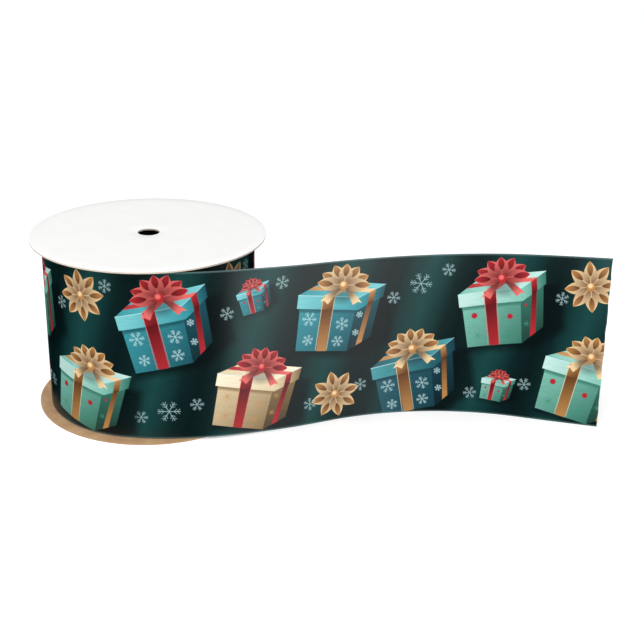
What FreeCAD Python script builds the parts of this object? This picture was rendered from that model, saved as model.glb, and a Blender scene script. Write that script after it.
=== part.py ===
"""A flat-lying ribbon spool: two paperboard flanges on a corrugated core, wound with wide satin ribbon.

Frame: origin on the spool's axis at the underside of the lower flange, +Z up along the axis, +X the way
the loose end of the ribbon runs. Front is -Y. Units are millimetres and degrees.
"""
import FreeCAD, Part
import math
import os

# ---- driving dimensions ------------------------------------------------------------------------------
RIBBON_WIDTH = 76.2            # a 3 inch ribbon
RIBBON_THICKNESS = 0.22
TURN_PITCH = 0.28              # from one wound turn to the next
WOUND_TURNS = 9

FLANGE_DIAMETER = 104.0
OVERALL_HEIGHT = 78.8
BOARD_THICKNESS = 0.70
FACE_PAPER_THICKNESS = 0.12
SPINDLE_HOLE_DIAMETER = 9.6

ROLL_RADIUS = 46.8             # over the outermost turn
TURN_CLEARANCE = 0.20          # the outermost turn slips round the wound ribbon
RIBBON_REST_HEIGHT = 0.18      # ribbon edge above the lower flange's inner face
WOUND_LIFT = 0.35              # the wound turns sit a little higher than the outermost one

LINER_THICKNESS = 0.35
FLUTE_HEIGHT = 2.30
FLUTE_COUNT = 42
MEDIUM_THICKNESS = 0.25
GLUE_FILLET = 1.6
TAPE_THICKNESS = 0.10
TAPE_LENGTH = 24.0
TAPE_WIDTH = 50.0
CONTACT_GAP = 0.02             # left between stacked thin pieces

# The outermost turn leaves the roll at the front. Its hidden first edge lies a little further round.
DEPARTURE_ANGLE = -5.0
SEAM_ANGLE = 5.0

# The loose end stands on edge. Each stretch of an edge is (length, degrees that it turns to the left).
LOWER_EDGE = [(50.0, 26.5), (40.0, 5.5), (88.0, -39.5), (36.0, 2.0)]
UPPER_EDGE = [(50.0, 26.5), (40.0, 0.5), (88.0, -20.5), (36.0, 0.0)]
TAIL_DROP = 0.80               # the edge comes down from the flange to the table
TAIL_DROP_START = 34.0
TAIL_DROP_END = 80.0
TAIL_STATIONS = 31

# ---- derived sizes -----------------------------------------------------------------------------------
FLANGE_RADIUS = FLANGE_DIAMETER / 2
HOLE_RADIUS = SPINDLE_HOLE_DIAMETER / 2
LOWER_INNER_FACE = FACE_PAPER_THICKNESS + BOARD_THICKNESS
UPPER_INNER_FACE = OVERALL_HEIGHT - LOWER_INNER_FACE
CORE_HEIGHT = UPPER_INNER_FACE - LOWER_INNER_FACE
RIBBON_BOTTOM = LOWER_INNER_FACE + RIBBON_REST_HEIGHT
TURN_INNER_RADIUS = ROLL_RADIUS - RIBBON_THICKNESS
WOUND_RADIUS = TURN_INNER_RADIUS - TURN_CLEARANCE
WOUND_START_RADIUS = WOUND_RADIUS - RIBBON_THICKNESS - WOUND_TURNS * TURN_PITCH
CORE_RADIUS = WOUND_START_RADIUS - CONTACT_GAP - TAPE_THICKNESS
FLUTE_OUTER_RADIUS = CORE_RADIUS - LINER_THICKNESS
FLUTE_INNER_RADIUS = FLUTE_OUTER_RADIUS - FLUTE_HEIGHT
CORE_INNER_RADIUS = FLUTE_INNER_RADIUS - LINER_THICKNESS

V = FreeCAD.Vector
UP = V(0, 0, 1)
ORIGIN = V(0, 0, 0)


# ---- shapes ------------------------------------------------------------------------------------------
def ring(outer_radius, inner_radius, bottom, top):
    """A flat washer or a tube round the spool's axis."""
    height = top - bottom
    outside = Part.makeCylinder(outer_radius, height, V(0, 0, bottom), UP)
    inside = Part.makeCylinder(inner_radius, height, V(0, 0, bottom), UP)
    return outside.cut(inside)


def polar(radius, degrees, height=0.0):
    """A point at this radius. The angle starts at the front, -Y, and grows towards +X."""
    angle = math.radians(degrees)
    return V(radius * math.sin(angle), -radius * math.cos(angle), height)


def extrude(edges, bottom, height):
    """The upright solid over a closed outline drawn at height zero."""
    face = Part.Face(Part.Wire(Part.__sortEdges__(edges)))
    face.translate(V(0, 0, bottom))
    return face.extrude(V(0, 0, height))


def ring_sector(outer_radius, inner_radius, start, end, bottom, height):
    """Part of a tube, from one polar angle round to another."""
    middle = (start + end) / 2
    edges = [Part.Arc(polar(r, start), polar(r, middle), polar(r, end)).toShape()
             for r in (outer_radius, inner_radius)]
    edges += [Part.makeLine(polar(inner_radius, a), polar(outer_radius, a)) for a in (start, end)]
    return extrude(edges, bottom, height)


def spiral_edges(start_radius, turns, pitch):
    """A spiral of half circles about two centres, anticlockwise and outward from the +X axis."""
    offset = pitch / 4
    edges = []
    x = start_radius
    for half in range(2 * turns):
        side = 1 if half % 2 == 0 else -1
        centre = -side * offset
        radius = abs(x - centre)
        end_x = centre - side * radius
        edges.append(Part.Arc(V(x, 0, 0), V(centre, side * radius, 0), V(end_x, 0, 0)).toShape())
        x = end_x
    return edges, V(x, 0, 0)


def wound_strip():
    """The wound ribbon: one strip in a close spiral from the core outwards."""
    inner, inner_end = spiral_edges(WOUND_START_RADIUS, WOUND_TURNS, TURN_PITCH)
    outer, outer_end = spiral_edges(WOUND_START_RADIUS + RIBBON_THICKNESS, WOUND_TURNS, TURN_PITCH)
    start = Part.makeLine(V(WOUND_START_RADIUS, 0, 0), V(WOUND_START_RADIUS + RIBBON_THICKNESS, 0, 0))
    end = Part.makeLine(inner_end, outer_end)
    return extrude(inner + outer + [start, end], RIBBON_BOTTOM + WOUND_LIFT, RIBBON_WIDTH)


def wavy_loop(mean_radius, amplitude, count):
    """A closed wavy line round the axis, as the medium of corrugated board runs."""
    steps = count * 8
    points = []
    for i in range(steps):
        turn = 2 * math.pi * i / steps
        radius = mean_radius + amplitude * math.cos(count * turn)
        points.append(V(radius * math.cos(turn), radius * math.sin(turn), 0))
    curve = Part.BSplineCurve()
    curve.interpolate(points, PeriodicFlag=True)
    return Part.Face(Part.Wire(curve.toShape()))


def core_fluting():
    """The fluted medium between the core's two liners."""
    mean = (FLUTE_OUTER_RADIUS + FLUTE_INNER_RADIUS) / 2
    amplitude = (FLUTE_HEIGHT - MEDIUM_THICKNESS) / 2 - CONTACT_GAP
    outside = wavy_loop(mean + MEDIUM_THICKNESS / 2, amplitude, FLUTE_COUNT)
    inside = wavy_loop(mean - MEDIUM_THICKNESS / 2, amplitude, FLUTE_COUNT)
    face = outside.cut(inside)
    face.translate(V(0, 0, LOWER_INNER_FACE))
    return face.extrude(V(0, 0, CORE_HEIGHT)).Solids[0]


def glue_ring(face_height, direction):
    """A hot-melt fillet in the corner between the core's bore and a flange."""
    r = CORE_INNER_RADIUS
    corner = V(r, 0, face_height)
    on_flange = V(r - GLUE_FILLET, 0, face_height)
    on_core = V(r, 0, face_height + direction * GLUE_FILLET)
    sag = 0.35 * GLUE_FILLET
    hollow = V(r - sag, 0, face_height + direction * sag)
    edges = [Part.makeLine(corner, on_flange), Part.Arc(on_flange, hollow, on_core).toShape(),
             Part.makeLine(on_core, corner)]
    profile = Part.Face(Part.Wire(edges))
    return profile.revolve(ORIGIN, UP, 360)


def start_tape():
    """The double-sided tape that holds the ribbon's first end on the core."""
    half = math.degrees(TAPE_LENGTH / 2 / CORE_RADIUS)
    middle = 90.0 + half * 0.9     # the ribbon starts on the +X axis and runs over it
    bottom = OVERALL_HEIGHT / 2 - TAPE_WIDTH / 2
    outer = CORE_RADIUS + TAPE_THICKNESS
    return ring_sector(outer, CORE_RADIUS, middle - half, middle + half, bottom, TAPE_WIDTH)


def outer_turn():
    """The outermost turn, from its seam anticlockwise round to where it leaves the roll."""
    end = 360.0 + DEPARTURE_ANGLE
    return ring_sector(ROLL_RADIUS, TURN_INNER_RADIUS, SEAM_ANGLE, end, RIBBON_BOTTOM, RIBBON_WIDTH)


def edge_point(stretches, distance):
    """Where an edge of the loose end is, and its heading, at this distance from the roll."""
    start = polar(ROLL_RADIUS - RIBBON_THICKNESS / 2, DEPARTURE_ANGLE)
    x, y = start.x, start.y
    heading = math.radians(DEPARTURE_ANGLE)
    left = distance
    for length, degrees in stretches:
        run = min(left, length)
        turned = math.radians(degrees) * run / length
        chord = run if abs(turned) < 1e-9 else 2 * run / turned * math.sin(turned / 2)
        x += chord * math.cos(heading + turned / 2)
        y += chord * math.sin(heading + turned / 2)
        heading += turned
        left -= run
    return x, y, heading


def smooth(t):
    t = max(0.0, min(1.0, t))
    return t * t * (3 - 2 * t)


def tail_corners(distance):
    """The four corners of the ribbon's cross-section at one place on the loose end, in order round it."""
    low_x, low_y, low_heading = edge_point(LOWER_EDGE, distance)
    high_x, high_y, high_heading = edge_point(UPPER_EDGE, distance)
    lean = math.hypot(high_x - low_x, high_y - low_y)
    drop = TAIL_DROP * smooth((distance - TAIL_DROP_START) / (TAIL_DROP_END - TAIL_DROP_START))
    low_z = RIBBON_BOTTOM - drop
    high_z = low_z + math.sqrt(RIBBON_WIDTH ** 2 - lean ** 2)
    corners = []
    for x, y, z, heading, side in ((low_x, low_y, low_z, low_heading, -1),
                                   (low_x, low_y, low_z, low_heading, 1),
                                   (high_x, high_y, high_z, high_heading, 1),
                                   (high_x, high_y, high_z, high_heading, -1)):
        offset = side * RIBBON_THICKNESS / 2
        corners.append(V(x - offset * math.sin(heading), y + offset * math.cos(heading), z))
    return corners


def ribbon_tail():
    """The loose end: a strip on edge, bending away from the roll and back again."""
    length = sum(run for run, _ in LOWER_EDGE)
    stations = [tail_corners(length * i / (TAIL_STATIONS - 1)) for i in range(TAIL_STATIONS)]
    curves = []
    for corner in range(4):
        curve = Part.BSplineCurve()
        curve.interpolate([station[corner] for station in stations])
        curves.append(curve.toShape())
    faces = [Part.makeRuledSurface(curves[i - 1], curves[i]) for i in range(4)]
    for corners in (stations[0], stations[-1]):
        low = Part.makeLine(corners[0], corners[1])
        high = Part.makeLine(corners[3], corners[2])
        faces.append(Part.makeRuledSurface(low, high))
    shell = Part.makeShell(faces)
    shell.sewShape()
    solid = Part.makeSolid(shell)
    if solid.Volume < 0:
        solid.reverse()
    return solid


# ---- parts -------------------------------------------------------------------------------------------
def build():
    lower_outer = FACE_PAPER_THICKNESS
    upper_outer = OVERALL_HEIGHT - FACE_PAPER_THICKNESS
    parts = {
        "lower_face_paper": ring(FLANGE_RADIUS, HOLE_RADIUS, 0, lower_outer),
        "lower_flange_board": ring(FLANGE_RADIUS, HOLE_RADIUS, lower_outer, LOWER_INNER_FACE),
        "upper_flange_board": ring(FLANGE_RADIUS, HOLE_RADIUS, UPPER_INNER_FACE, upper_outer),
        "upper_face_paper": ring(FLANGE_RADIUS, HOLE_RADIUS, upper_outer, OVERALL_HEIGHT),
        "core_outer_liner": ring(CORE_RADIUS, FLUTE_OUTER_RADIUS, LOWER_INNER_FACE, UPPER_INNER_FACE),
        "core_fluting": core_fluting(),
        "core_inner_liner": ring(FLUTE_INNER_RADIUS, CORE_INNER_RADIUS, LOWER_INNER_FACE, UPPER_INNER_FACE),
        "lower_glue_ring": glue_ring(LOWER_INNER_FACE, 1),
        "upper_glue_ring": glue_ring(UPPER_INNER_FACE, -1),
        "start_tape": start_tape(),
        "wound_ribbon": wound_strip(),
        "outer_turn": outer_turn(),
        "ribbon_tail": ribbon_tail(),
    }
    os.makedirs("parts", exist_ok=True)
    for name, shape in parts.items():
        box = shape.BoundBox
        print(f"{name:20s} valid {shape.isValid()} solids {len(shape.Solids)} volume {shape.Volume:10.1f} "
              f"z {box.ZMin:.2f} to {box.ZMax:.2f} x {box.XMin:.1f} to {box.XMax:.1f}")
        shape.exportStep(f"parts/{name}.step")
    wound_length = parts["wound_ribbon"].Volume / (RIBBON_THICKNESS * RIBBON_WIDTH)
    turn_length = parts["outer_turn"].Volume / (RIBBON_THICKNESS * RIBBON_WIDTH)
    tail_length = sum(run for run, _ in LOWER_EDGE)
    print(f"ribbon: wound {wound_length:.0f}, outer turn {turn_length:.0f}, tail {tail_length:.0f}, "
          f"in all {wound_length + turn_length + tail_length:.0f} mm")
    print(f"core radius {CORE_RADIUS:.2f}, bore of core {CORE_INNER_RADIUS:.2f}")


build()
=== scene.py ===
import math

import bpy
from mathutils import Matrix, Vector


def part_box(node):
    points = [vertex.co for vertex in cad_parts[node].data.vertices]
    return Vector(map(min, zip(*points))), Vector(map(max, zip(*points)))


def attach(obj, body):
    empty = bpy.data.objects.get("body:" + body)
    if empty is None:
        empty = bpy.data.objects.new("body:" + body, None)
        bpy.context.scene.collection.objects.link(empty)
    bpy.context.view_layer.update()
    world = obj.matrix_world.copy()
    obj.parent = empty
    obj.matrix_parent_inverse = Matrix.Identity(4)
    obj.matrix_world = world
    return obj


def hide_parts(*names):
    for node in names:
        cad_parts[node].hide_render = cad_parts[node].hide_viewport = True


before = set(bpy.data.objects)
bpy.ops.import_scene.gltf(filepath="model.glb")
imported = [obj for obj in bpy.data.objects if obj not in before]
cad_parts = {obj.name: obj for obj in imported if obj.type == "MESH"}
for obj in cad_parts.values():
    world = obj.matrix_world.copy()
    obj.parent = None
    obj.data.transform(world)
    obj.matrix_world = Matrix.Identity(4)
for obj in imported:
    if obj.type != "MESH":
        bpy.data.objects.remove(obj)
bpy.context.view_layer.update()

MM = 0.001

# ---- sizes: those of the CAD model, in millimetres ---------------------------------------------------
RIBBON_WIDTH = 76.2
RIBBON_THICKNESS = 0.22
ROLL_RADIUS = 46.8
RIBBON_BOTTOM = 1.0
MIDDLE_RADIUS = ROLL_RADIUS - RIBBON_THICKNESS / 2      # of the outer turn's cloth
DEPARTURE = math.radians(-5.0)      # where the loose end leaves the roll, from the front towards +X
SEAM = math.radians(5.0)            # where the outer turn begins, likewise
# the long edges of the loose end, from the roll outwards, as arcs: (length, degrees turned)
LOWER_EDGE = [(50.0, 26.5), (40.0, 5.5), (88.0, -39.5), (36.0, 2.0)]
UPPER_EDGE = [(50.0, 26.5), (40.0, 0.5), (88.0, -20.5), (36.0, 0.0)]
TAIL_DROP = 0.80                    # how far the loose end sinks between these distances from the roll
TAIL_DROP_START = 34.0
TAIL_DROP_END = 80.0
TAIL_LENGTH = sum(run for run, _ in LOWER_EDGE)
TURN_LENGTH = ROLL_RADIUS * (2 * math.pi - SEAM + DEPARTURE)
WOUND_TURNS = 9
TURN_PITCH = 0.28
TURN_GAP = 0.20                     # the outer turn's clearance round the wound turns
WOUND_RISE = 0.35                   # how much higher than the outer turn the wound turns stand
WOUND_RADIUS = ROLL_RADIUS - RIBBON_THICKNESS - TURN_GAP
WOUND_BOTTOM = RIBBON_BOTTOM + WOUND_RISE
HOLE_RADIUS = 4.8
EDGE_BAND = 0.9                     # the woven edge's width

PRINT_REPEAT = 224.0                # the artwork's length along the ribbon
PRINT_STRETCHES = 8                 # a repeat is painted by this many materials, each for its own stretch
STRETCH_MARGIN = 6.0                # a shape this near to a stretch is painted in it too, for its soft edge
PRINT_BLUR = 0.2                    # how soft the edge of a printed shape is


# ---- mesh helpers ------------------------------------------------------------------------------------
def new_object(name, verts, faces, smooth=True):
    mesh = bpy.data.meshes.new(name)
    mesh.from_pydata([(x * MM, y * MM, z * MM) for x, y, z in verts], [], faces)
    mesh.update()
    if smooth:
        mesh.polygons.foreach_set("use_smooth", [True] * len(mesh.polygons))
    obj = bpy.data.objects.new(name, mesh)
    bpy.context.scene.collection.objects.link(obj)
    return obj


def smooth_step(t):
    t = max(0.0, min(1.0, t))
    return t * t * (3 - 2 * t)


def lathe(name, profile, segments, wobble):
    """A closed ring round the spool's axis. The profile is a closed outline of (radius, height), and the
    wobble says how far out each point is moved."""
    count = len(profile)
    verts = []
    for i in range(segments):
        turn = 2 * math.pi * i / segments
        for radius, height in profile:
            away = radius + wobble(turn, radius, height)
            verts.append((away * math.cos(turn), away * math.sin(turn), height))
    faces = []
    for i in range(segments):
        k = (i + 1) % segments
        for j in range(count):
            n = (j + 1) % count
            faces.append((i * count + j, k * count + j, k * count + n, i * count + n))
    return new_object(name, verts, faces)


def disc_profile(inner, outer, bottom, top, edge):
    """A flat washer's outline, its corners eased, with rings across its faces for smooth shading."""
    rings = [inner + (outer - inner) * i / 8 for i in range(1, 8)]
    points = [(outer - edge, bottom), (outer - edge * 0.3, bottom + edge * 0.3), (outer, bottom + edge),
              (outer, top - edge), (outer - edge * 0.3, top - edge * 0.3), (outer - edge, top)]
    points += [(r, top) for r in reversed(rings)]
    points += [(inner + edge, top), (inner + edge * 0.3, top - edge * 0.3), (inner, top - edge),
               (inner, bottom + edge), (inner + edge * 0.3, bottom + edge * 0.3), (inner + edge, bottom)]
    points += [(r, bottom) for r in rings]
    return points


# ---- shader helpers ----------------------------------------------------------------------------------
def linear(colour):
    """An ink given as 0..255 display values, as a linear colour."""
    out = []
    for value in colour:
        value /= 255
        value = value / 12.92 if value <= 0.04045 else ((value + 0.055) / 1.055) ** 2.4
        out.append(value)
    return (*out, 1.0)


class Tree:
    """A small helper that adds nodes to one node tree and links them in order."""

    def __init__(self, tree):
        self.tree = tree

    def node(self, kind, inputs=(), **settings):
        node = self.tree.nodes.new(kind)
        for key, value in settings.items():
            setattr(node, key, value)
        for key, value in (inputs.items() if isinstance(inputs, dict) else enumerate(inputs)):
            socket = node.inputs[key]
            if isinstance(value, bpy.types.NodeSocket):
                self.tree.links.new(value, socket)
            elif value is not None:
                socket.default_value = value
        return node

    def math(self, operation, *inputs):
        return self.node("ShaderNodeMath", inputs, operation=operation).outputs[0]

    def clamp(self, value):
        """Held between nought and one, by a node of its own. It keeps long shaders within Cycles' limits."""
        return self.node("ShaderNodeClamp", (value,)).outputs[0]

    def dot(self, a, b):
        return self.node("ShaderNodeVectorMath", (a, b), operation="DOT_PRODUCT").outputs["Value"]

    def mix(self, factor, a, b, blend="MIX"):
        inputs = {0: factor, 6: a, 7: b}
        return self.node("ShaderNodeMix", inputs, data_type="RGBA", blend_type=blend).outputs[2]

    def vector(self, x, y, z):
        return self.node("ShaderNodeCombineXYZ", (x, y, z)).outputs[0]

    def noise(self, vector, scale, detail=2.0, roughness=0.5):
        inputs = {"Vector": vector, "Scale": scale, "Detail": detail, "Roughness": roughness}
        return self.node("ShaderNodeTexNoise", inputs).outputs["Fac"]

    def ramp(self, value, low, high, to_low=0.0, to_high=1.0):
        inputs = {"Value": value, "From Min": low, "From Max": high, "To Min": to_low, "To Max": to_high}
        return self.node("ShaderNodeMapRange", inputs).outputs[0]


GROUPS = {}


def socket_kind(label):
    if label in ("Under", "Ink", "Far ink", "Over"):
        return "NodeSocketColor"
    if label.split()[0] in ("Place", "Run", "Edge", "Chord", "Axis"):
        return "NodeSocketVector"
    return "NodeSocketFloat"


def print_group(name, sockets, build):
    """A node group that paints one kind of printed shape over what is under it. Each is made only once."""
    if name not in GROUPS:
        tree = bpy.data.node_groups.new(f"Printed shape {len(GROUPS) + 1}", "ShaderNodeTree")
        for label in ["Place", "Under"] + sockets:
            tree.interface.new_socket(label, in_out="INPUT", socket_type=socket_kind(label))
        tree.interface.new_socket("Over", in_out="OUTPUT", socket_type=socket_kind("Over"))
        inputs = tree.nodes.new("NodeGroupInput").outputs
        helper = Tree(tree)
        mask = helper.math("MULTIPLY", build(helper, inputs), inputs["Strength"])
        ink = inputs["Ink"]
        if "Far ink" in inputs:
            ink = helper.mix(helper.dot(inputs["Place"], inputs["Run"]), ink, inputs["Far ink"])
        over = helper.mix(mask, inputs["Under"], ink)
        out = tree.nodes.new("NodeGroupOutput")
        tree.links.new(over, out.inputs[0])
        GROUPS[name] = tree
    return GROUPS[name]


def hull_of(points, indices):
    """Which of these points are corners of their convex hull."""
    order = sorted(indices, key=lambda i: (points[i][0], points[i][1]))
    corners = set()
    for path in (order, order[::-1]):
        side = []
        for i in path:
            while len(side) > 1 and cross(points, side[-2], side[-1], i) <= 1e-9:
                side.pop()
            side.append(i)
        corners.update(side)
    return corners


def cross(points, a, b, c):
    (ax, ay), (bx, by), (cx, cy) = points[a], points[b], points[c]
    return (bx - ax) * (cy - ay) - (by - ay) * (cx - ax)


def edge_formula(points, chain, operation):
    """How the edges along a chain of corners combine, as nested (operation, parts). An edge has its first
    corner's number. Edges round a hollow are joined by the other operation from those round a bulge."""
    if len(chain) == 2:
        return chain[0]
    corners = hull_of(points, chain)
    stops = [i for i, corner in enumerate(chain) if corner in corners or i in (0, len(chain) - 1)]
    if len(stops) == 2:
        return operation, list(chain[:-1])
    other = "MAXIMUM" if operation == "MINIMUM" else "MINIMUM"
    return operation, [edge_formula(points, chain[a:b + 1], other) for a, b in zip(stops, stops[1:])]


def outline_formula(points):
    """The formula for a whole outline, whose corners go anticlockwise: positive inside."""
    count = len(points)
    start = min(range(count), key=lambda i: points[i])
    ring = [(start + i) % count for i in range(count)] + [start]
    corners = hull_of(points, ring[:-1])
    stops = [i for i, corner in enumerate(ring) if corner in corners]
    return "MINIMUM", [edge_formula(points, ring[a:b + 1], "MAXIMUM") for a, b in zip(stops, stops[1:])]


def inside_outline(formula, curved):
    """Within an outline: each edge's distance, straight or bulging like a parabola, joined by the formula."""
    def build(tree, inputs):
        place = inputs["Place"]

        def distance(part):
            if isinstance(part, int):
                straight = tree.dot(place, inputs[f"Edge {part + 1}"])
                if part not in curved:
                    return straight
                chord = tree.dot(place, inputs[f"Chord {part + 1}"])
                along = tree.node("ShaderNodeClamp", (chord, -1.0, 1.0)).outputs[0]
                square = tree.math("MULTIPLY", along, along)
                return tree.math("MULTIPLY_ADD", square, inputs[f"Bulge {part + 1}"], straight)
            operation, parts = part
            joined = distance(parts[0])
            for each in parts[1:]:
                joined = tree.math(operation, joined, distance(each))
            return joined

        return tree.clamp(tree.math("MULTIPLY_ADD", distance(formula), inputs["Sharpness"], 0.5))
    return build


def inside_disc(tree, inputs):
    x = tree.dot(inputs["Place"], inputs["Axis 1"])
    y = tree.dot(inputs["Place"], inputs["Axis 2"])
    square = tree.math("MULTIPLY_ADD", y, y, tree.math("MULTIPLY", x, x))
    away = tree.math("SUBTRACT", 1.0, tree.math("SQRT", square))
    return tree.clamp(tree.math("MULTIPLY_ADD", away, inputs["Sharpness"], 0.5))


def inside_bar(tree, inputs):
    """Within one unit either way of two axes, whose scales are the bar's half sizes over the blur."""
    x = tree.math("ABSOLUTE", tree.dot(inputs["Place"], inputs["Axis 1"]))
    y = tree.math("ABSOLUTE", tree.dot(inputs["Place"], inputs["Axis 2"]))
    across = tree.math("SUBTRACT", inputs["Half width"], y)
    along = tree.math("SUBTRACT", inputs["Half length"], x)
    return tree.clamp(tree.math("ADD", tree.math("MINIMUM", across, along), 0.5))


def folded(tree, inputs):
    """Along and across one arm of a star whose arms are folded on to each other. Its radius is one."""
    x = tree.dot(inputs["Place"], inputs["Axis 1"])
    y = tree.dot(inputs["Place"], inputs["Axis 2"])
    radius = tree.math("SQRT", tree.math("MULTIPLY_ADD", y, y, tree.math("MULTIPLY", x, x)))
    angle = tree.math("PINGPONG", tree.math("ARCTAN2", y, x), inputs["Half turn"])
    return tree.math("MULTIPLY", radius, tree.math("COSINE", angle)), \
        tree.math("MULTIPLY", radius, tree.math("SINE", angle))


def inside_star(tree, inputs):
    """Arms that taper to their tips."""
    along, across = folded(tree, inputs)
    taper = tree.math("MULTIPLY", inputs["Half width"], -0.8)
    half = tree.math("MULTIPLY_ADD", along, taper, inputs["Half width"])
    gap = tree.math("MINIMUM", tree.math("SUBTRACT", half, across), tree.math("SUBTRACT", 1.0, along))
    return tree.clamp(tree.math("MULTIPLY_ADD", gap, inputs["Sharpness"], 0.5))


def inside_flake(tree, inputs):
    """Arms with two pairs of barbs, which slant outwards from these shares of the arm."""
    barb_starts, barb_slope, half_barb = (0.42, 0.68), -0.9, 0.13
    along, across = folded(tree, inputs)
    sharp, half = inputs["Sharpness"], inputs["Half width"]

    def band(distance):
        return tree.clamp(tree.math("MULTIPLY_ADD", tree.math("SUBTRACT", half, distance), sharp, 0.5))

    mask = band(across)
    for start in barb_starts:
        out = tree.math("SUBTRACT", along, start)
        off = tree.math("ABSOLUTE", tree.math("MULTIPLY_ADD", out, barb_slope, across))
        middle = tree.math("ABSOLUTE", tree.math("SUBTRACT", out, half_barb))
        barb = tree.math("MULTIPLY", band(off), tree.math("LESS_THAN", middle, half_barb))
        mask = tree.math("MAXIMUM", mask, barb)
    return tree.math("MULTIPLY", mask, tree.math("LESS_THAN", along, 1.0))


class Artwork:
    """Paints printed shapes one over another. Places are (along, up) in millimetres on the ribbon.

    The artwork repeats along the ribbon. One Artwork covers one stretch of it and leaves out the shapes
    that don't reach that stretch, which keeps each stretch's shader short.
    """

    def __init__(self, tree, along, up, ground, start, end):
        self.tree, self.paint = tree, ground
        self.middle = (start + end) / 2
        self.reach = (end - start) / 2 + STRETCH_MARGIN
        low = self.middle - PRINT_REPEAT / 2
        wrapped = tree.math("WRAP", along, low + PRINT_REPEAT, low)
        self.place = tree.vector(wrapped, up, 1.0)

    def shift(self, low, high):
        """How far to move a shape of this extent to its copy nearest this stretch. None if it's out of it."""
        move = round((self.middle - (low + high) / 2) / PRINT_REPEAT) * PRINT_REPEAT
        away = abs((low + high) / 2 + move - self.middle) - (high - low) / 2
        return move if away < self.reach else None

    def stamp(self, name, build, values, colour, alpha, move, to=None, run=None):
        """Paints one shape in this colour, or from it to another along a run between two places."""
        sockets = list(values) + ["Strength", "Ink"]
        values = dict(values, Place=self.place, Under=self.paint, Strength=alpha, Ink=linear(colour))
        if to:
            name += " shaded"
            sockets = sockets + ["Far ink", "Run"]
            (x0, y0), (x1, y1) = run
            x0, x1 = x0 + move, x1 + move
            dx, dy = x1 - x0, y1 - y0
            square = dx * dx + dy * dy
            values["Far ink"] = linear(to)
            values["Run"] = (dx / square, dy / square, -(x0 * dx + y0 * dy) / square)
        node = self.tree.node("ShaderNodeGroup", node_tree=print_group(name, sockets, build))
        for key, value in values.items():
            if isinstance(value, bpy.types.NodeSocket):
                self.tree.tree.links.new(value, node.inputs[key])
            else:
                node.inputs[key].default_value = value
        self.paint = node.outputs[0]

    def fill(self, points, colour, to=None, run=None, soft=PRINT_BLUR, alpha=1.0):
        """An outline. A corner's third number is how far the edge after it bulges."""
        move = self.shift(min(p[0] for p in points), max(p[0] for p in points))
        if move is None:
            return
        corners = [(p[0] + move, p[1]) for p in points]
        bulges = [p[2] if len(p) > 2 else 0.0 for p in points]
        count = len(corners)
        area = sum(a[0] * b[1] - b[0] * a[1] for a, b in zip(corners, corners[1:] + corners[:1]))
        if area < 0:
            corners = corners[::-1]
            bulges = [bulges[(i - 1) % count] for i in range(count - 1, -1, -1)]
        curved = [i for i in range(count) if bulges[i]]
        values = {"Sharpness": 1 / soft}
        for i, ((x0, y0), (x1, y1)) in enumerate(zip(corners, corners[1:] + corners[:1])):
            dx, dy = x1 - x0, y1 - y0
            length = math.hypot(dx, dy)
            values[f"Edge {i + 1}"] = (-dy / length, dx / length, (dy * x0 - dx * y0) / length + bulges[i])
            if i in curved:
                square = length * length / 2
                values[f"Chord {i + 1}"] = (dx / square, dy / square, -(x0 * dx + y0 * dy) / square - 1)
                values[f"Bulge {i + 1}"] = -bulges[i]
        formula = outline_formula(corners)
        name = f"Outline {formula} {curved}"
        self.stamp(name, inside_outline(formula, curved), values, colour, alpha, move, to, run)

    def axes(self, centre, sizes, turn, move):
        """Two linear forms that give a place's coordinates about a centre, in units of the sizes."""
        cx, cy = centre[0] + move, centre[1]
        c, s = math.cos(math.radians(turn)), math.sin(math.radians(turn))
        out = []
        for (ax, ay), size in (((c, s), sizes[0]), ((-s, c), sizes[1])):
            out.append((ax / size, ay / size, -(ax * cx + ay * cy) / size))
        return out

    def disc(self, centre, radius, colour, soft, alpha):
        move = self.shift(centre[0] - radius, centre[0] + radius)
        if move is None:
            return
        a, b = self.axes(centre, (radius, radius), 0, move)
        values = {"Axis 1": a, "Axis 2": b, "Sharpness": radius / soft}
        self.stamp("Disc", inside_disc, values, colour, alpha, move)

    def folded_star(self, name, build, arms, centre, radius, turn, colour, alpha, line):
        move = self.shift(centre[0] - radius, centre[0] + radius)
        if move is None:
            return
        a, b = self.axes(centre, (radius, radius), turn, move)
        values = {"Axis 1": a, "Axis 2": b, "Half turn": math.pi / arms, "Sharpness": radius / PRINT_BLUR,
                  "Half width": line / radius / 2}
        self.stamp(name, build, values, colour, alpha, move)

    def flake(self, centre, radius, turn, colour, alpha, line):
        self.folded_star("Flake", inside_flake, 6, centre, radius, turn, colour, alpha, line)

    def star(self, centre, radius, arms, turn, colour, alpha, line):
        self.folded_star("Star", inside_star, arms, centre, radius, turn, colour, alpha, line)

    def line(self, start, end, colour, width, alpha):
        (x0, y0), (x1, y1) = start, end
        move = self.shift(min(x0, x1), max(x0, x1))
        if move is None:
            return
        length = math.hypot(x1 - x0, y1 - y0)
        turn = math.degrees(math.atan2(y1 - y0, x1 - x0))
        a, b = self.axes(((x0 + x1) / 2, (y0 + y1) / 2), (PRINT_BLUR, PRINT_BLUR), turn, move)
        values = {"Axis 1": a, "Axis 2": b, "Half length": length / 2 / PRINT_BLUR,
                  "Half width": width / 2 / PRINT_BLUR}
        self.stamp("Bar", inside_bar, values, colour, alpha, move)


# ---- the printed artwork, in millimetres along and up the ribbon -------------------------------------
# inks, as display values
NIGHT = (3, 14, 17)
DEEP = (4, 36, 37)
SEA = (14, 74, 72)
FROST = (190, 226, 230)
STAR_GOLD = (176, 128, 74)
STAR_GREEN = (50, 128, 106)
BERRY = (160, 22, 38)
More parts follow.
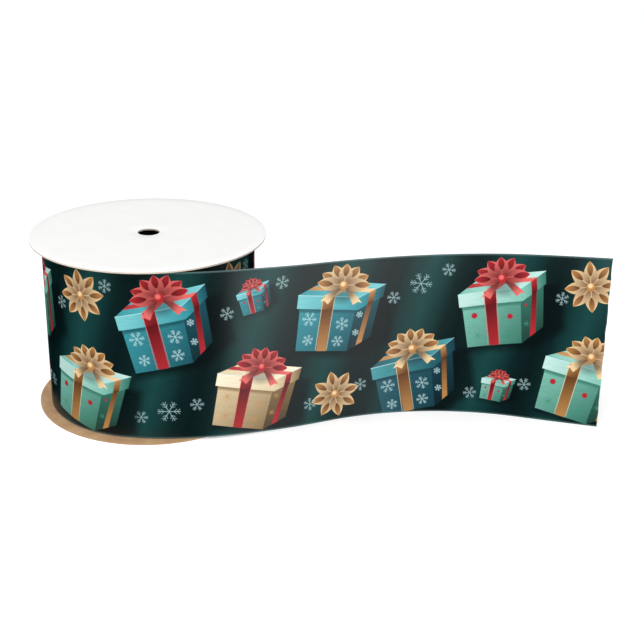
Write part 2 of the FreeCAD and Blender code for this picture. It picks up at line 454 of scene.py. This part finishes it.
# each paper: its lit face, its front and its shaded side
TEAL = ((108, 184, 188), (40, 136, 146), (12, 74, 86))
OCEAN = ((62, 142, 148), (22, 84, 96), (10, 58, 70))
MINT = ((176, 208, 202), (112, 174, 158), (44, 106, 90))
CREAM = ((228, 218, 194), (204, 186, 148), (126, 100, 62))
# each ribbon: its bright, middle and dark folds
RED = ((214, 98, 92), (160, 24, 34), (84, 4, 12))
GOLD = ((222, 192, 146), (168, 118, 62), (84, 44, 14))


class Motif:
    """Draws about its own middle, in units of its size, turned as it lies on the ribbon."""

    def __init__(self, art, centre, size, turn):
        self.art, self.centre, self.size, self.turn = art, centre, size, turn
        self.cos, self.sin = math.cos(math.radians(turn)), math.sin(math.radians(turn))

    def at(self, x, y, *bulge):
        across = self.centre[0] + self.size * (x * self.cos - y * self.sin)
        up = self.centre[1] + self.size * (x * self.sin + y * self.cos)
        return (across, up, *[self.size * value for value in bulge])

    def fill(self, points, near, far=None, soft=PRINT_BLUR, alpha=1.0):
        """An outline, shaded from its first corner to its middle one."""
        outline = [self.at(*point) for point in points]
        run = (outline[0][:2], outline[len(outline) // 2][:2]) if far else None
        self.art.fill(outline, near, to=far, run=run, soft=soft, alpha=alpha)

    def line(self, start, end, colour, width, alpha):
        self.art.line(self.at(*start), self.at(*end), colour, width, alpha)

    def disc(self, centre, radius, colour, soft=0.3, alpha=1.0):
        self.art.disc(self.at(*centre), radius * self.size, colour, soft, alpha)


def leaf(start, end, width):
    """A leaf between two tips, as wide as this on each side. Its tips are a little blunt."""
    (x0, y0), (x1, y1) = start, end
    half_tip = 0.01 / math.hypot(x1 - x0, y1 - y0)
    x, y = (y1 - y0) * half_tip, (x0 - x1) * half_tip
    return [(x0 + x, y0 + y, width), (x1 + x, y1 + y), (x1 - x, y1 - y, width), (x0 - x, y0 - y)]


def rosette(motif, centre, reach, angles, ribbon, squash=1.0):
    """Loops of ribbon round a knot. Each has a lit face, a dark inside near its tip and a pale crease."""
    bright, middle, dark = ribbon
    inside_start = 0.42
    for angle in angles:
        x, y = math.cos(math.radians(angle)) * reach, math.sin(math.radians(angle)) * reach * squash
        tip = (centre[0] + x, centre[1] + y)
        inside = (centre[0] + x * inside_start, centre[1] + y * inside_start)
        motif.fill(leaf(centre, tip, reach * 0.24), dark, bright)
        motif.fill(leaf(inside, tip, reach * 0.1), dark, middle, soft=0.25)
        motif.line(centre, inside, bright, 0.26, alpha=0.7)
    motif.disc(centre, reach * 0.17, middle)
    motif.disc((centre[0] - reach * 0.03, centre[1] + reach * 0.04), reach * 0.09, bright, soft=0.8)


def tails(motif, centre, ribbon):
    """Two loose ends below the knot, with notched tips."""
    bright, _, dark = ribbon
    x, y = centre
    for side in (-1, 1):
        end = [(x + side * 0.3, y - 0.46), (x + side * 0.4, y - 0.38), (x + side * 0.5, y - 0.4)]
        motif.fill([(x, y), *end, (x + side * 0.12, y, 0.03)], dark, bright)


def decorate(motif, kind):
    """Small ornaments, four on a box's front and two on its side, each (x, y, size)."""
    places = ((-0.66, -0.1, 0.17), (-0.62, -0.6, 0.13), (0.14, -0.2, 0.16), (0.1, -0.62, 0.14),
              (0.52, 0.04, 0.08), (0.5, -0.4, 0.08))
    for index, (x, y, size) in enumerate(places):
        centre, radius = motif.at(x, y), size * motif.size
        if kind == "flakes":
            motif.art.flake(centre, radius, motif.turn + index * 20, FROST, alpha=0.6, line=0.26)
        elif kind == "stars":
            motif.art.star(centre, radius, 8, motif.turn + index * 15, STAR_GOLD, alpha=0.6, line=0.5)
        elif index % 2:
            motif.art.star(centre, radius, 6, motif.turn, STAR_GREEN, alpha=0.7, line=0.6)
        else:
            motif.disc((x, y), size * 0.4, BERRY)


def gift(art, centre, size, turn, paper, ribbon, ornament):
    """A lidded box seen from a little above, tied both ways, with a bow on its lid."""
    motif = Motif(art, centre, size, turn)
    lit, front, side = paper
    darkest = tuple(part * 0.6 for part in side)
    bright, middle, dark = ribbon
    # the shadow that it casts
    shadow = [(-0.9, -0.98), (0.6, -1.02), (1.36, -0.6), (1.3, 0.5), (-0.8, 0.5)]
    motif.fill(shadow, NIGHT, soft=3.5, alpha=0.75)
    # the body's front and side, and the lid's shadow on the front
    motif.fill([(-0.93, 0.3), (-0.87, -0.86), (0.37, -0.86), (0.41, 0.3)], front, side)
    motif.fill([(0.41, 0.4), (0.37, -0.86), (0.87, -0.5), (0.94, 0.66)], side, darkest)
    motif.fill([(-0.93, 0.16), (-0.92, 0.06), (0.4, 0.06), (0.41, 0.16)], side, soft=1.2, alpha=0.8)
    # the lid's front, side and top
    motif.fill([(-1, 0.45), (-0.99, 0.14), (0.45, 0.14), (0.45, 0.45)], lit, front)
    motif.fill([(0.45, 0.45), (0.45, 0.14), (0.99, 0.5), (1, 0.8)], front, side)
    motif.fill([(-1, 0.45), (0.45, 0.45), (1, 0.8), (-0.45, 0.8)], front, lit)
    motif.line((-1, 0.45), (0.45, 0.45), FROST, 0.35, alpha=0.6)
    motif.line((0.45, 0.45), (1, 0.8), FROST, 0.3, alpha=0.4)
    decorate(motif, ornament)
    # the ribbon down the front and down the side, each on the body and then on the lid
    motif.fill([(-0.4, 0.16), (-0.37, -0.86), (-0.15, -0.86), (-0.15, 0.16)], dark, middle)
    motif.fill([(-0.41, 0.45), (-0.41, 0.13), (-0.14, 0.13), (-0.14, 0.45)], middle, dark)
    motif.fill([(0.67, 0.4), (0.56, -0.72), (0.69, -0.63), (0.78, 0.46)], dark, middle)
    motif.fill([(0.66, 0.58), (0.66, 0.27), (0.79, 0.36), (0.79, 0.67)], middle, dark)
    # both ways over the lid, then pale selvedges down the front
    motif.fill([(-0.41, 0.45), (-0.14, 0.45), (0.41, 0.8), (0.14, 0.8)], bright, middle)
    motif.fill([(-0.79, 0.58), (0.66, 0.58), (0.79, 0.67), (-0.66, 0.67)], middle, bright)
    for x in (-0.41, -0.14):
        motif.line((x, 0.45), (x + 0.01, -0.84), bright, 0.26, alpha=0.7)
    # the bow, standing on the lid over its own soft shadow
    knot = (0.02, 0.72)
    loop_angles = (150, 30, 118, 62, 176, 4, 90)
    tails(motif, knot, ribbon)
    motif.disc((0.02, 0.66), 0.34, NIGHT, soft=3, alpha=0.5)
    rosette(motif, knot, 0.62, loop_angles, ribbon, 0.8)


# the boxes, one above and one below in turn: how high, how large, how turned, and what they are made of
BOXES = (
    (51, 20.0, 12, TEAL, RED, "flakes"),
    (18, 18.5, -12, CREAM, RED, "stars"),
    (51, 19.5, -8, TEAL, GOLD, "flakes"),
    (18, 19.5, 10, OCEAN, GOLD, "flakes"),
    (51, 19.5, 8, MINT, RED, "berries"),
    (18, 19.0, -12, MINT, GOLD, "berries"),
)
BOX_SPACING = PRINT_REPEAT / len(BOXES)
SMALL_BOXES = (1, 4)                # opposite these boxes there's a small one
ROSETTES = (2, 5)                   # and opposite these a rosette


def ground(art):
    """Green light and shadow that slant across the ribbon behind the boxes, past both of its edges."""
    low, high = -8, 84
    for i in range(len(BOXES)):
        left = i * BOX_SPACING
        light = [(left, low), (left + 10, low), (left + 34, high), (left + 20, high)]
        shadow = [(left + 18, low), (left + 30, low), (left + 52, high), (left + 40, high)]
        art.fill(light, SEA, soft=12, alpha=0.6)
        art.fill(shadow, NIGHT, soft=11, alpha=0.6)


def draw(art):
    """The whole repeat: each box in turn and, opposite it, something smaller between two loose flakes."""
    ground(art)
    for i, (up, size, turn, paper, ribbon, ornament) in enumerate(BOXES):
        middle = (i + 0.5) * BOX_SPACING
        upper = up > RIBBON_WIDTH / 2
        other, flake_rise = (13, 3) if upper else (63, 6)
        flake_turn = i * 17
        if i in SMALL_BOXES:
            gift(art, (middle, other), 7.5, -turn, MINT if upper else TEAL, RED, "berries")
        elif i in ROSETTES:
            rosette(Motif(art, (middle, other), 12, turn), (0, 0), 0.95, range(20, 380, 45), GOLD)
        else:
            art.flake((middle, other), 5, flake_turn, FROST, alpha=0.45, line=0.3)
        for side in (-1, 1):
            place = (middle + side * 12, other + side * flake_rise)
            art.flake(place, 3, flake_turn, FROST, alpha=0.45, line=0.26)
        gift(art, (middle, up), size, turn, paper, ribbon, ornament)


# ---- materials ---------------------------------------------------------------------------------------
BACK_VEIL = (168, 184, 182)         # unprinted threads, which show over the print on the ribbon's back
WOVEN_EDGE = (120, 150, 150)
RIDGE_SPACING = 0.42                # millimetres, between the satin's ridges
PLY_SPACING = 0.22                  # and between the layers at a board's cut edge
PAPER_WHITE = (251, 251, 250)
PAPER_SHADE = (248, 248, 247)
PAPER_FIBRE = (228, 226, 220)
KRAFT_FACE = ((184, 147, 110), (128, 92, 60), (202, 168, 130))      # base, dark fibres, pale fibres
CORE_FACE = ((176, 140, 104), (120, 86, 58), (196, 160, 124))
LOWER_CUT_EDGE = (168, 130, 94)
UPPER_CUT_EDGE = (200, 195, 188)
HOT_MELT = (226, 208, 160)
CLEAR_TAPE = (226, 222, 204)


def new_material(name):
    material = bpy.data.materials.new(name)
    material.use_nodes = True
    material.node_tree.nodes.clear()
    tree = Tree(material.node_tree)
    return material, tree


def finish_material(tree, inputs):
    shader = tree.node("ShaderNodeBsdfPrincipled", inputs)
    tree.node("ShaderNodeOutputMaterial", (shader.outputs[0],))


def satin_material(name, start, end):
    """Printed satin: a stretch of the artwork, fine threads along the ribbon, and a duller, paler back."""
    material, tree = new_material(name)
    uv = tree.node("ShaderNodeUVMap", uv_map="Print").outputs[0]
    split = tree.node("ShaderNodeSeparateXYZ", (uv,))
    along, up = split.outputs[0], split.outputs[1]
    art = Artwork(tree, along, up, linear(DEEP), start, end)
    draw(art)
    # threads: long floats along the ribbon, barely wavering, and the slight unevenness of the dye
    stretched = tree.vector(tree.math("MULTIPLY", along, 0.12), tree.math("MULTIPLY", up, 3.4), 0.0)
    floats = tree.noise(stretched, 1.0, detail=3.0, roughness=0.6)
    crossing = tree.vector(tree.math("MULTIPLY", along, 2.6), tree.math("MULTIPLY", up, 1.2), 0.0)
    weft = tree.noise(crossing, 1.0)
    shade = tree.ramp(floats, 0.25, 0.75, 0.86, 1.16)
    shade = tree.math("MULTIPLY", shade, tree.ramp(weft, 0.3, 0.7, 0.95, 1.06))
    shade = tree.node("ShaderNodeCombineColor", (shade, shade, shade)).outputs[0]
    face = tree.mix(1.0, art.paint, shade, "MULTIPLY")
    back = tree.mix(0.72, face, linear(BACK_VEIL))
    side = tree.node("ShaderNodeAttribute", attribute_name="back_side").outputs["Fac"]
    colour = tree.mix(side, face, back)
    # the woven edge is a little lighter, and fine ridges run along the whole width
    from_edge = tree.math("MINIMUM", up, tree.math("SUBTRACT", RIBBON_WIDTH, up))
    edge = tree.ramp(from_edge, EDGE_BAND, 0.25)
    colour = tree.mix(tree.math("MULTIPLY", edge, 0.35), colour, linear(WOVEN_EDGE))
    ridges = tree.math("SINE", tree.math("MULTIPLY", up, 2 * math.pi / RIDGE_SPACING))
    height = tree.math("MULTIPLY_ADD", floats, 0.9, tree.math("MULTIPLY", ridges, 0.12))
    bump = tree.node("ShaderNodeBump", {"Strength": 0.22, "Distance": 0.00012, "Height": height}).outputs[0]
    rough = tree.ramp(floats, 0.2, 0.8, 0.3, 0.4)
    tangent = tree.node("ShaderNodeTangent", direction_type="UV_MAP", uv_map="Print").outputs[0]
    # the rotation spreads the highlight across the threads
    finish_material(tree, {"Base Color": colour, "Roughness": rough, "Normal": bump, "Tangent": tangent,
                           "Specular IOR Level": 0.45, "Anisotropic": 0.85, "Anisotropic Rotation": 0.25})
    return material


def satin_materials():
    step = PRINT_REPEAT / PRINT_STRETCHES
    starts = [i * step for i in range(PRINT_STRETCHES)]
    return [satin_material(f"Printed satin {i + 1}", at, (i + 1) * step) for i, at in enumerate(starts)]


def print_on(obj, materials):
    """Gives each face of a ribbon the material for its stretch of the artwork."""
    for material in materials:
        obj.data.materials.append(material)
    places = obj.data.uv_layers["Print"].data
    for face in obj.data.polygons:
        along = sum(places[i].uv[0] for i in face.loop_indices) / len(face.loop_indices)
        face.material_index = int(along % PRINT_REPEAT / PRINT_REPEAT * PRINT_STRETCHES)


def object_place(tree):
    """Places on a piece in millimetres."""
    place = tree.node("ShaderNodeTexCoord").outputs["Object"]
    return tree.node("ShaderNodeVectorMath", {0: place, "Scale": 1000.0}, operation="SCALE").outputs[0]


def scaled(tree, place, x, y, z):
    return tree.node("ShaderNodeVectorMath", (place, (x, y, z)), operation="MULTIPLY").outputs[0]


def paper_material(name):
    """White clay-coated face paper, faintly mottled and fibrous."""
    material, tree = new_material(name)
    place = object_place(tree)
    mottle = tree.noise(place, 0.12, detail=4.0, roughness=0.6)
    fibre = tree.noise(scaled(tree, place, 1.0, 2.6, 1.0), 1.3, detail=3.0, roughness=0.65)
    colour = tree.mix(tree.ramp(mottle, 0.3, 0.7), linear(PAPER_WHITE), linear(PAPER_SHADE))
    colour = tree.mix(tree.math("MULTIPLY", tree.ramp(fibre, 0.62, 0.8), 0.2), colour, linear(PAPER_FIBRE))
    height = tree.math("MULTIPLY_ADD", fibre, 0.5, mottle)
    bump = tree.node("ShaderNodeBump", {"Strength": 0.12, "Distance": 0.0002, "Height": height}).outputs[0]
    rough = tree.ramp(fibre, 0.3, 0.7, 0.52, 0.64)
    finish_material(tree, {"Base Color": colour, "Roughness": rough, "Normal": bump,
                           "Specular IOR Level": 0.3})
    return material


def kraft_material(name, face, cut_edge=None):
    """Kraft board: felted fibres, darker specks, and layers that show at a cut edge of this colour."""
    base, dark, pale = face
    material, tree = new_material(name)
    place = object_place(tree)
    cloud = tree.noise(place, 0.15, detail=3.0)
    fibre = tree.noise(scaled(tree, place, 0.5, 3.2, 2.0), 1.4, detail=4.0, roughness=0.7)
    cross = tree.noise(scaled(tree, place, 2.8, 0.6, 2.0), 1.5, detail=4.0, roughness=0.7)
    speck = tree.noise(place, 3.4, detail=1.0)
    colour = tree.mix(tree.ramp(cloud, 0.3, 0.7), linear(base), linear(pale))
    colour = tree.mix(tree.math("MULTIPLY", tree.ramp(fibre, 0.52, 0.75), 0.5), colour, linear(dark))
    colour = tree.mix(tree.math("MULTIPLY", tree.ramp(cross, 0.55, 0.8), 0.4), colour, linear(pale))
    colour = tree.mix(tree.math("MULTIPLY", tree.ramp(speck, 0.7, 0.76), 0.6), colour, linear(dark))
    if cut_edge:
        height_mm = tree.node("ShaderNodeSeparateXYZ", (place,)).outputs[2]
        ply = tree.math("SINE", tree.math("MULTIPLY", height_mm, 2 * math.pi / PLY_SPACING))
        normal = tree.node("ShaderNodeNewGeometry").outputs["Normal"]
        flat = tree.math("ABSOLUTE", tree.node("ShaderNodeSeparateXYZ", (normal,)).outputs[2])
        cut = tree.ramp(flat, 0.6, 0.3)
        layers = tree.mix(tree.ramp(ply, -0.2, 0.9, 0.0, 0.3), linear(cut_edge), linear(dark))
        colour = tree.mix(tree.math("MULTIPLY", cut, 0.85), colour, layers)
    height = tree.math("ADD", fibre, cross)
    bump = tree.node("ShaderNodeBump", {"Strength": 0.3, "Distance": 0.0003, "Height": height}).outputs[0]
    rough = tree.ramp(fibre, 0.3, 0.7, 0.78, 0.9)
    finish_material(tree, {"Base Color": colour, "Roughness": rough, "Normal": bump,
                           "Specular IOR Level": 0.25})
    return material


def clear_material(name, tint, scale, roughness):
    """Hot-melt glue or clear tape: tinted, a little cloudy, uneven on its surface."""
    material, tree = new_material(name)
    place = object_place(tree)
    cloud = tree.noise(place, scale, detail=3.0)
    colour = tree.mix(tree.ramp(cloud, 0.3, 0.7), linear(tint), linear([c * 0.88 for c in tint]))
    bump = tree.node("ShaderNodeBump", {"Strength": 0.4, "Distance": 0.0004, "Height": cloud}).outputs[0]
    rough = tree.ramp(cloud, 0.3, 0.7, roughness, roughness + 0.2)
    finish_material(tree, {"Base Color": colour, "Roughness": rough, "Normal": bump, "Subsurface Weight": 0.3,
                           "Subsurface Radius": (0.002, 0.0015, 0.001), "Subsurface Scale": 0.4})
    return material


# ---- ribbon ------------------------------------------------------------------------------------------
def edge_point(stretches, distance):
    """Where an edge of the loose end is, and its heading, at this distance from the roll."""
    x = MIDDLE_RADIUS * math.sin(DEPARTURE)
    y = -MIDDLE_RADIUS * math.cos(DEPARTURE)
    heading = DEPARTURE
    left = distance
    for length, degrees in stretches:
        run = min(left, length)
        turned = math.radians(degrees) * run / length
        chord = run if abs(turned) < 1e-9 else 2 * run / turned * math.sin(turned / 2)
        x += chord * math.cos(heading + turned / 2)
        y += chord * math.sin(heading + turned / 2)
        heading += turned
        left -= run
    return x, y, heading


def ribbon_point(distance, up):
    """A point in the middle of the cloth and the way its face looks. Distance is negative round the roll."""
    share = up / RIBBON_WIDTH
    if distance <= 0:
        angle = DEPARTURE + distance / MIDDLE_RADIUS
        facing = Vector((math.sin(angle), -math.cos(angle), 0))
        return Vector((MIDDLE_RADIUS * facing.x, MIDDLE_RADIUS * facing.y, RIBBON_BOTTOM + up)), facing
    low_x, low_y, low_heading = edge_point(LOWER_EDGE, distance)
    high_x, high_y, high_heading = edge_point(UPPER_EDGE, distance)
    lean = math.hypot(high_x - low_x, high_y - low_y)
    drop = TAIL_DROP * smooth_step((distance - TAIL_DROP_START) / (TAIL_DROP_END - TAIL_DROP_START))
    low = Vector((low_x, low_y, RIBBON_BOTTOM - drop))
    rise = Vector((high_x - low_x, high_y - low_y, math.sqrt(RIBBON_WIDTH ** 2 - lean ** 2)))
    heading = low_heading + (high_heading - low_heading) * share
    along = Vector((math.cos(heading), math.sin(heading), 0))
    return low + rise * share, along.cross(rise).normalized()


def thread_end(row):
    """How far each row of the ribbon stands out at the cut end, which frays very slightly."""
    return 0.14 * math.sin(row * 1.7) * math.sin(row * 0.61 + 1) + 0.07 * math.sin(row * 5.3)


def ribbon_mesh(name, columns, rows, point, end_trim=None):
    """A closed strip of cloth: a face, a back and four narrow edges. Its UVs are its millimetres.

    It's a third thicker along its woven edges, and rounded off at the very edge.
    """
    verts = []
    for side in (1, -1):
        for i, distance in enumerate(columns):
            for j, up in enumerate(rows):
                at = distance
                if end_trim and i == len(columns) - 1:
                    at += end_trim(j)
                centre, facing = point(at, up)
                bead = 1.0 + 0.35 * smooth_step(1 - min(up, RIBBON_WIDTH - up) / EDGE_BAND)
                if j in (0, len(rows) - 1):
                    bead = 0.5
                verts.append(centre + facing * side * bead * RIBBON_THICKNESS / 2)
    n, m = len(columns), len(rows)
    back = n * m
    faces, places, sides = [], [], []

    def add(corners, side):
        faces.append([c[0] for c in corners])
        places.extend(c[1] for c in corners)
        sides.extend([side] * len(corners))

    def corner(i, j, layer):
        return layer * back + i * m + j, (columns[i], rows[j])

    for i in range(n - 1):
        for j in range(m - 1):
            ring = [(i, j), (i + 1, j), (i + 1, j + 1), (i, j + 1)]
            add([corner(a, b, 0) for a, b in ring], 0.0)
            add([corner(a, b, 1) for a, b in reversed(ring)], 1.0)
    for i in range(n - 1):
        add([corner(i + 1, 0, 0), corner(i, 0, 0), corner(i, 0, 1), corner(i + 1, 0, 1)], 0.0)
        add([corner(i, m - 1, 0), corner(i + 1, m - 1, 0), corner(i + 1, m - 1, 1), corner(i, m - 1, 1)], 0.0)
    for j in range(m - 1):
        add([corner(0, j, 0), corner(0, j + 1, 0), corner(0, j + 1, 1), corner(0, j, 1)], 0.0)
        add([corner(n - 1, j + 1, 0), corner(n - 1, j, 0), corner(n - 1, j, 1), corner(n - 1, j + 1, 1)], 0.0)
    obj = new_object(name, verts, faces)
    layer = obj.data.uv_layers.new(name="Print")
    layer.data.foreach_set("uv", [value for pair in places for value in pair])
    attribute = obj.data.attributes.new("back_side", "FLOAT", "CORNER")
    attribute.data.foreach_set("value", sides)
    return obj


def spaced(start, end, step):
    count = max(1, round((end - start) / step))
    return [start + (end - start) * i / count for i in range(count + 1)]


def ribbon_rows(step):
    """Heights across the ribbon, closer together at its woven edges."""
    edge = [0.0, 0.12, 0.45, EDGE_BAND]
    middle = spaced(2.0, RIBBON_WIDTH - 2.0, step)
    return edge + middle + [RIBBON_WIDTH - up for up in reversed(edge)]


def outer_ribbon(materials):
    """The outermost turn and the loose end, which are one length of cloth."""
    columns = spaced(-TURN_LENGTH, -6.0, 2.4) + spaced(-5.0, TAIL_LENGTH - 0.8, 1.6) + [TAIL_LENGTH - 0.35]
    ribbon = ribbon_mesh("printed_ribbon", columns, ribbon_rows(2.4), ribbon_point, thread_end)
    print_on(ribbon, materials)
    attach(ribbon, "ribbon_end")
    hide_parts("outer_turn", "ribbon_tail")


def wound_point(distance, up):
    """The wound turns, from the core outwards. Each turn's edge stands a little higher or lower."""
    turns = distance / wound_length() * WOUND_TURNS
    radius = WOUND_RADIUS - RIBBON_THICKNESS / 2 - (WOUND_TURNS - turns) * TURN_PITCH
    angle = math.pi / 2 + 2 * math.pi * turns
    facing = Vector((math.sin(angle), -math.cos(angle), 0))
    stray = 0.16 * math.sin(turns * 2.3) + 0.08 * math.sin(turns * 7.1)
    return Vector((radius * facing.x, radius * facing.y, WOUND_BOTTOM + stray + up)), facing


def wound_length():
    middle = WOUND_RADIUS - WOUND_TURNS * TURN_PITCH / 2
    return 2 * math.pi * middle * WOUND_TURNS


def wound_ribbon(materials):
    """The turns under the outermost one."""
    columns = spaced(0.0, wound_length(), 3.4)
    rows = [0.0, 0.45, 12.0, 38.0, 64.0, RIBBON_WIDTH - 0.45, RIBBON_WIDTH]
    ribbon = ribbon_mesh("wound_turns", columns, rows, wound_point)
    print_on(ribbon, materials)
    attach(ribbon, "spool")
    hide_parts("wound_ribbon")


# ---- spool -------------------------------------------------------------------------------------------
def flange_piece(name, node, material, edge, ripple):
    """A die-cut disc with its corners eased and its rim and hole very slightly uneven."""
    low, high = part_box(node)
    outer = high[0] / MM
    bottom, top = low[2] / MM, high[2] / MM

    def wobble(turn, radius, height):
        share = (radius - HOLE_RADIUS) / (outer - HOLE_RADIUS)
        waves = math.sin(turn * 11 + height) + math.sin(turn * 29 + 2) + math.sin(turn * 63)
        inwards = abs(ripple * waves / 3)
        if share > 0.98:
            return -inwards
        if share < 0.02:
            return inwards
        return 0.0

    disc = lathe(name, disc_profile(HOLE_RADIUS, outer, bottom, top, edge), 288, wobble)
    disc.data.materials.append(material)
    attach(disc, "spool")
    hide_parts(node)


def spool_parts():
    """The four discs, and the looks of the CAD model's own pieces."""
    paper = paper_material("Face paper")
    kraft = kraft_material("Kraft board", KRAFT_FACE, LOWER_CUT_EDGE)
    pale_kraft = kraft_material("Upper kraft board", KRAFT_FACE, UPPER_CUT_EDGE)
    core = kraft_material("Core board", CORE_FACE)
    glue = clear_material("Hot melt", HOT_MELT, 0.6, 0.25)
    tape = clear_material("Tape", CLEAR_TAPE, 0.3, 0.3)
    flange_piece("lower_flange", "lower_flange_board", kraft, 0.10, 0.05)
    flange_piece("upper_flange", "upper_flange_board", pale_kraft, 0.10, 0.05)
    flange_piece("lower_paper", "lower_face_paper", paper, 0.03, 0.03)
    flange_piece("upper_paper", "upper_face_paper", paper, 0.03, 0.03)
    for node in ("core_outer_liner", "core_fluting", "core_inner_liner"):
        frame_material(node, core)
    for node in ("lower_glue_ring", "upper_glue_ring"):
        frame_material(node, glue)
    frame_material("start_tape", tape)


def frame_material(node, material):
    obj = bpy.data.objects[node]
    obj.data.materials.clear()
    obj.data.materials.append(material)


# ---- stage -------------------------------------------------------------------------------------------
FLOOR_HALF = 2500.0                 # millimetres
FLOOR_LEVEL = -0.06
WORLD_STRENGTH = 0.74
KEY_WATTS = 8
SHEEN_WATTS = 2.8
EYE = (0.0955, -0.5084, 0.2486)     # metres
EYE_YAW, EYE_PITCH, EYE_ROLL = math.radians(-2.025), math.radians(22.447), math.radians(1.1225)
LENS = 67.91
SENSOR_WIDTH = 36.0


def floor():
    sides = ((-1, -1), (1, -1), (1, 1), (-1, 1))
    corners = [(x * FLOOR_HALF, y * FLOOR_HALF, FLOOR_LEVEL) for x, y in sides]
    piece = new_object("floor", corners, [(0, 1, 2, 3)], smooth=False)
    material, tree = new_material("Floor")
    grain = tree.noise(object_place(tree), 0.05)
    colour = tree.mix(tree.ramp(grain, 0.3, 0.7), (0.96, 0.96, 0.96, 1), (0.98, 0.98, 0.98, 1))
    finish_material(tree, {"Base Color": colour, "Roughness": 1.0, "Specular IOR Level": 0.0,
                           "Emission Color": (1, 1, 1, 1), "Emission Strength": 0.25})
    piece.data.materials.append(material)
    piece.visible_glossy = False


def area_light(name, location, target, size, watts, size_y=None):
    data = bpy.data.lights.new(name, "AREA")
    data.energy = watts
    data.size = size
    if size_y:
        data.shape = "RECTANGLE"
        data.size_y = size_y
    light = bpy.data.objects.new(name, data)
    bpy.context.scene.collection.objects.link(light)
    light.location = location
    light.rotation_euler = (Vector(target) - Vector(location)).to_track_quat("-Z", "Y").to_euler()
    return light


def lights():
    """White light from all round and a soft key, neither mirrored by the satin, and a sheen light that is."""
    world = bpy.data.worlds.new("Studio")
    bpy.context.scene.world = world
    world.use_nodes = True
    background = world.node_tree.nodes["Background"]
    background.inputs[0].default_value = (1, 1, 1, 1)
    background.inputs[1].default_value = WORLD_STRENGTH
    world.cycles_visibility.glossy = False
    key = area_light("key", (-0.5, -0.7, 1.1), (0.06, 0, 0.03), 0.9, KEY_WATTS)
    key.visible_glossy = False
    area_light("sheen", (0.58, -0.66, 0.12), (0.08, -0.03, 0.04), 0.25, SHEEN_WATTS, size_y=0.4)


def camera():
    """Where the photograph was taken from."""
    data = bpy.data.cameras.new("camera")
    data.lens = LENS
    data.sensor_width = SENSOR_WIDTH
    eye = bpy.data.objects.new("camera", data)
    bpy.context.scene.collection.objects.link(eye)
    tilt = Matrix.Rotation(math.pi / 2 - EYE_PITCH, 4, "X")
    turn = Matrix.Rotation(-EYE_YAW, 4, "Z") @ tilt @ Matrix.Rotation(EYE_ROLL, 4, "Z")
    eye.matrix_world = Matrix.Translation(EYE) @ turn
    bpy.context.scene.camera = eye


camera()
lights()
floor()
spool_parts()
satin = satin_materials()
outer_ribbon(satin)
wound_ribbon(satin)
bpy.context.scene.view_settings.view_transform = "Standard"
